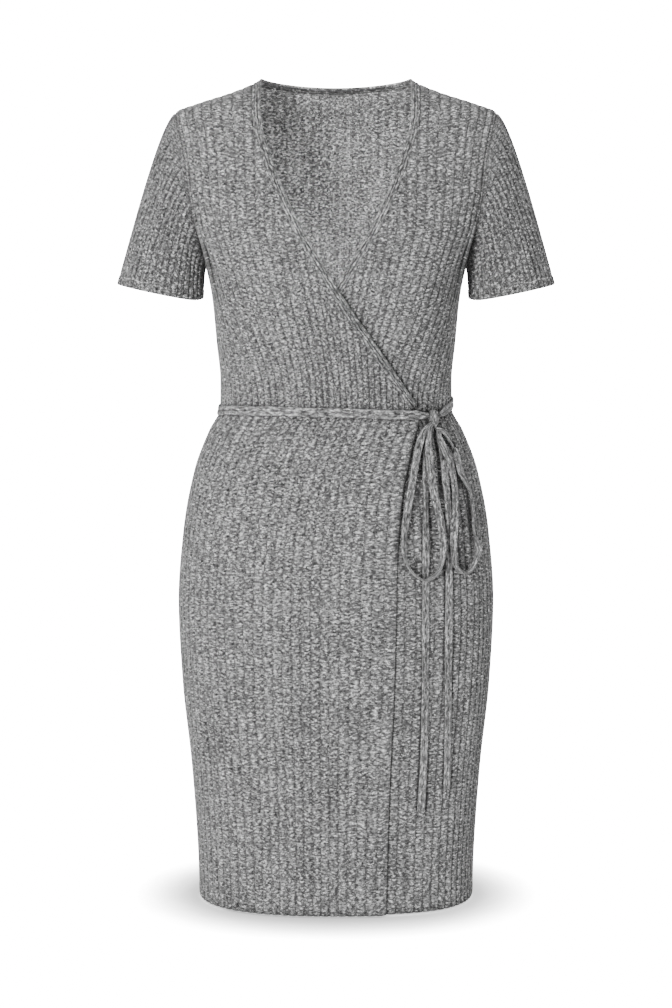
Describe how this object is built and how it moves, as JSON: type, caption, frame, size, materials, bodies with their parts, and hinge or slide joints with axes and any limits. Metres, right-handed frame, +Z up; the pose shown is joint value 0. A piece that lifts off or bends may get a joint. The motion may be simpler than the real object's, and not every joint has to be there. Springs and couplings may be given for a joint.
{
  "type": "wrap dress",
  "caption": "Knee-length wrap dress in marled rib knit, with a V neck, short set-in sleeves and a narrow self-fabric tie round the waist in a bow, filled out as worn.",
  "frame": {"origin": "midway between the two high shoulder points at the sides of the neck, on the level from which the wearer's shoulders carry the dress", "axes": "+Z up, -Y the front of the dress, +X the wearer's left, the side of the bow"},
  "size_m": [0.507, 0.246, 0.9605],
  "materials": {
    "rib_knit": "matte",
    "neck_binding": "matte",
    "tie": "matte"
  },
  "bodies": {
    "root": {"bodice_back": "rib_knit", "bodice_front_over": "rib_knit", "bodice_front_under": "rib_knit", "skirt_back": "rib_knit", "skirt_front_over": "rib_knit", "skirt_front_under": "rib_knit", "sleeve_left": "rib_knit", "sleeve_right": "rib_knit", "neckband_over": "neck_binding", "neckband_under": "neck_binding", "neckband_back": "neck_binding", "tie_waist": "tie", "tie_knot": "tie", "tie_loop_over": "tie", "tie_loop_under": "tie", "tie_tail_over": "tie", "tie_tail_under": "tie"}
  },
  "joints": []
}
